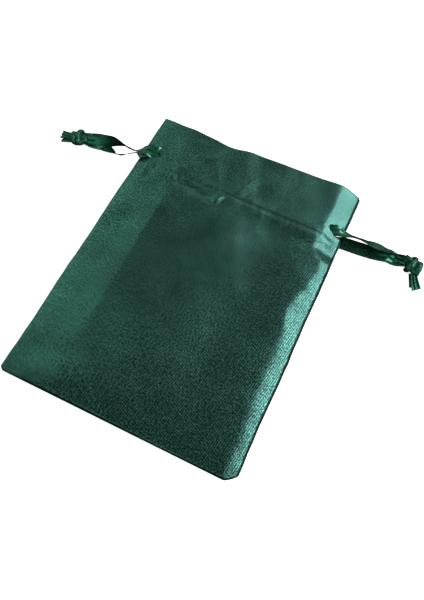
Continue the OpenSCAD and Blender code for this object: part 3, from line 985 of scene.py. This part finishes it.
RIGHT_FRONT = [
    [36, 43.8, 7.55, 0, 6, 0], [40, 44.4, 7.55, 0, 6, 0.1], [42.8, 45.1, 6.6, 0, 5.8, 0.2],
    [45, 45.6, 6.9, 4, 5.8, 0.3], [47.4, 45.9, 6.9, -10, 5.6, 0.35],
    [50, 46.15, 6.3, -30, 5.2, 0.4], [55.6, 47.1, 5.6, -49, 5, 0.2],
    [60, 47.6, 4.9, -38, 5.4, 0], [66, 47.9, 4.5, -28, 5.8, 0.1], [72.5, 48.1, 4.3, -50, 5.2, 0.4],
    [77.5, 47.8, 4, -85, 4, 0.8], [81, 47.2, 3.6, -95, 3, 1]]
RIGHT_BACK = [
    [36, 43.8, 1.1, 0, 6, 0], [44, 43.6, 1, 0, 6, 0.1], [48, 43.6, 1.7, 5, 5.8, 0.25],
    [51, 44, 2.3, 12, 5.8, 0.2], [55, 44.4, 2.2, 15, 6, 0], [59.5, 44.9, 2.1, 15, 6, 0],
    [64, 45.4, 2.1, 14, 6, 0.1], [67.5, 45.8, 2.8, 18, 6, 0.2], [70.5, 46.3, 3.2, 28, 6, 0.2],
    [74, 46.7, 2.2, 30, 5.6, 0.4], [76.5, 46.7, 2.7, 18, 5, 0.6], [79, 46.6, 3, 5, 4, 0.9],
    [81.5, 46.4, 3.1, 0, 3, 1]]
STRANDS = {"left": (LEFT_FRONT, LEFT_BACK), "right": (RIGHT_FRONT, RIGHT_BACK)}

PIECES = ["front_strand", "front_run", "turn", "back_run", "back_strand"]
STRAND_X = 38  # where a strand's piece begins, inside the sack
TURN_X = 44.6  # where the loop starts to turn round the far side seam
FOOT = np.array([(-1.5, 0), (0, 0), (1.5, 0), (0, -3), (0, 3)])  # a ribbon's footprint

# Knots: centre, heading in degrees, and size along, across and up
KNOTS = {
    "left": ((-81.4, 41.6, 3.1), 186, (5.2, 8.4, 5.6)),
    "right": ((81.7, 46.2, 3.2), -28, (6.4, 8.6, 5.8)),
}
# Tails: the route of each from its knot to its cut end
TAILS = {
    "left": [[(-82.5, 41.4, 3), (-85.5, 40.9, 2.6), (-88.2, 40.6, 2.2), (-90.2, 40.4, 1.9)],
             [(-82.5, 40.8, 1.8), (-85.2, 40.1, 1.4), (-87.6, 39.5, 1.2), (-89, 39.2, 1.1)]],
    "right": [[(83, 44.2, 2.9), (84.3, 41.6, 2.5), (85.6, 39.2, 2.1), (87, 36.9, 1.6)],
              [(82.6, 43.6, 1.6), (83.8, 41.4, 1.3), (85, 39.4, 1.1), (85.9, 37.9, 0.9)]],
}


def sweep(path, roll, width, gathered, seed):
    """Mid surface of a ribbon. It's gathered into lengthwise pleats where it goes into a knot."""
    tangent = tangents(path)
    across = unit(np.array([0, 1.0, 0]) - tangent * tangent[:, 1:2])
    up = np.cross(tangent, across)
    up *= np.where(up[:, 2:] < -0.2, -1, 1)
    a = np.radians(roll)[:, None]
    w = across * np.cos(a) + up * np.sin(a)
    face = up * np.cos(a) - across * np.sin(a)
    s = np.linspace(-1, 1, 13)
    far = run_length(path)[:, None]
    phase = np.random.default_rng(seed).uniform(0, 6)
    pleat = 0.42 * gathered[:, None] * np.cos(2.6 * np.pi * s + phase + far * 0.12)
    bow = 0.10 * (1 - s ** 2) * np.sin(far * 0.35 + phase)
    wave = 0.10 * s * np.sin(far * 0.8 + phase)
    grid = carried(path, w, face, s * width[:, None] / 2, pleat + bow + wave)
    return grid, listed(s * RIBBON_W / 2, far)


def strand_cord(piece, side, path):
    sign = SIGN[side]
    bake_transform(piece)
    out = path[:, 0] * sign
    if out[0] > out[-1]:
        path, out = path[::-1], out[::-1]


def ribbon(side):
    """One whole ribbon: front strand, front run, turn, back run and back strand, as pieces of
    one surface that share their edges."""
    sign, lane = SIGN[side], LANE_Y[side]
    front, back = (np.array(s, float) * [sign, 1, 1, 1, 1, 1] for s in STRANDS[side])
    inside = range(30, -41, -10)
    front_run = [[sign * x, lane, RUN_Z["front"], 0, RIBBON_W, 0] for x in inside]
    back_run = [[sign * x, lane, RUN_Z["back"], 0, RIBBON_W, 0] for x in reversed(inside)]
    turn = []
    for t in np.linspace(0, np.pi, 13):
        high = 3.35 + 2.05 * math.cos(t)
        turn.append([-sign * (TURN_X + 1.7 * math.sin(t)), lane, high, 0, RIBBON_W, 0])
    for key in [*front_run, *front[:2]]:
        under = FRONT_SURFACE.at(key[0] + FOOT[:, 0], key[1] + FOOT[:, 1])
        key[2] = min(RUN_Z["front"], under[:, 2].min() - 0.42)
    keys = np.array([*front[::-1], *front_run, *turn, *back_run, *back])
    dense = through(keys, 760)
    grid, uv = sweep(dense[:, :3], *dense[:, 3:].T, 41 if side == "left" else 44)
    quads = grid_quads(*grid.shape[:2])
    x = dense[:-1, 0] * sign
    first = np.arange(len(x)) < len(dense) // 2
    run = np.where(x > -TURN_X, np.where(first, 1, 3), 2)
    part = np.where(x > STRAND_X, np.where(first, 0, 4), run)
    for i, name in enumerate(PIECES):
        keep = np.repeat(part, grid.shape[1] - 1) == i
        piece = thick_sheet(f"{side}_{name}", grid.reshape(-1, 3), quads, uv, RIBBON_T, [RIBBON], keep)
        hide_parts(f"{side}_ribbon_{name}")
        if "strand" in name:
            strand_cord(piece, side, dense[:-1, :3][part == i])
        else:
            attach(piece, f"{side}_ribbon")


def pleated_tube(path, size, seed, around=30):
    """A bunched ribbon as a closed tube: a ridged oval section along a path. size is the
    section's half width and half height at each point."""
    tangent = tangents(path)
    side = np.cross(tangent, np.array([0, 0, 1.0]) - tangent * tangent[:, 2:])
    for k in range(1, len(path)):
        side[k] = side[k - 1] - tangent[k] * (side[k - 1] @ tangent[k])
    side = unit(side)
    a = np.linspace(0, 2 * np.pi, around, endpoint=False)
    phase = np.random.default_rng(seed).uniform(0, 6, 2)
    k = np.arange(len(path))[:, None]
    ridge = 1 + 0.07 * np.cos(7 * a + phase[0] + 0.35 * k) + 0.05 * np.cos(11 * a + phase[1] - 0.2 * k)
    w, h = size[:, :1] * np.cos(a) * ridge, size[:, 1:] * np.sin(a) * ridge
    verts = carried(path, side, np.cross(side, tangent), w, h).reshape(-1, 3)
    return verts, tube_faces(len(path), around), listed(a * 2.2, k * 0.25)


def tie(piece, side, node=None):
    """Lets a piece go with the loop's knot, and hides the CAD part that it stands for, if one is named.
    """
    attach(piece, f"{side}_loop")
    if node:
        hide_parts(f"{side}_ribbon_{node}")


def knot(side):
    """A tight overhand knot: the bundle through the middle, and its turn wrapped round it."""
    at, heading, (along, across, high) = KNOTS[side]
    h = math.radians(heading)
    axes = np.array([(math.cos(h), math.sin(h), 0), (-math.sin(h), math.cos(h), 0), (0, 0, 1)])

    def place(forward, left, up):
        return at + listed(forward, left, up) @ axes

    s = np.linspace(0, 1, 26)
    core = place((-0.75 + 1.45 * s) * along, 0.5 * np.sin(s * 7), 0.25 * np.cos(s * 6))
    core_size = listed(1.75 + 0.55 * np.sin(np.pi * s) ** 2, 1.25 + 0.4 * np.sin(np.pi * s))
    s = np.linspace(-0.35, 1.25, 60)
    a = 2 * np.pi * s + 0.6
    r = 0.45 + 0.55 * smoothstep(0, 0.3, np.minimum(s + 0.35, 1.25 - s))
    lean = 0.55 * np.sin(a) * (across / 2)
    coil = place((s - 0.45) * along * 0.42 + lean * 0.35, np.cos(a) * (across / 2 - 1.35) * r,
                 np.sin(a) * (high / 2 - 1.25) * r)
    coil_size = listed(np.full(len(s), 1.55), 1.25)
    verts, faces, uv = joined([pleated_tube(core, core_size, 51), pleated_tube(coil, coil_size, 53)])
    tie(new_object(f"{side}_knot", verts, faces, [RIBBON], uv=uv), side, "knot")


def tails(side):
    """The two cut ends beyond the knot, pleated where they leave it and frayed where cut."""
    rng = np.random.default_rng(61 if side == "left" else 62)
    t, s = np.linspace(0, 1, 28)[:, None], np.linspace(-1, 1, 15)
    quads = grid_quads(len(t), len(s))
    uv = listed(s * 3, t * 9)
    parts, frays = [], []
    for n, route in enumerate(TAILS[side]):
        path = through(route, len(t))
        tangent = tangents(path)
        across = unit(np.cross([0, 0, 1.0], tangent))
        up = np.cross(tangent, across)
        pleat = (0.55 - 0.28 * t) * np.cos(2.4 * np.pi * s + n + 0.9 * t)
        grid = carried(path, across, up, s * (2.6 + 1.9 * t ** 1.2) / 2, pleat)
        slant = 0.35 * t ** 3 * s * (1 if n else -1)
        grid = grid + slant[..., None] * tangent[:, None]
        p = grid.reshape(-1, 3)
        half = vertex_normals(p, quads) * RIBBON_T / 2
        parts.append((np.vstack([p + half, p - half]), closed_faces(quads, len(p)), np.vstack([uv, uv])))
        end = grid[-1]
        for _ in range(34):
            at = rng.uniform(0, 13.99)
            i = int(at)
            p0 = end[i] * (1 - at + i) + end[i + 1] * (at - i)
            go = tangent[-1] + across[-1] * rng.normal(0, 0.3) + up[-1] * rng.normal(0, 0.3)
            reach = rng.uniform(0.25, 1.0)
            bend = across[-1] * rng.normal(0, 0.15)
            frays.append([p0 - tangent[-1] * 0.3, p0, p0 + go * reach * 0.5 + bend, p0 + go * reach])
    verts, faces, uv = joined(parts)
    tie(new_object(f"{side}_tails", verts, faces, [RIBBON], uv=uv), side, "tails")
    tie(tubes(f"{side}_tail_fray", frays, 0.035, RIBBON_FRAY, 5, 0.8), side)


for ribbon_side in SIGN:
    knot(ribbon_side)
    tails(ribbon_side)
    ribbon(ribbon_side)
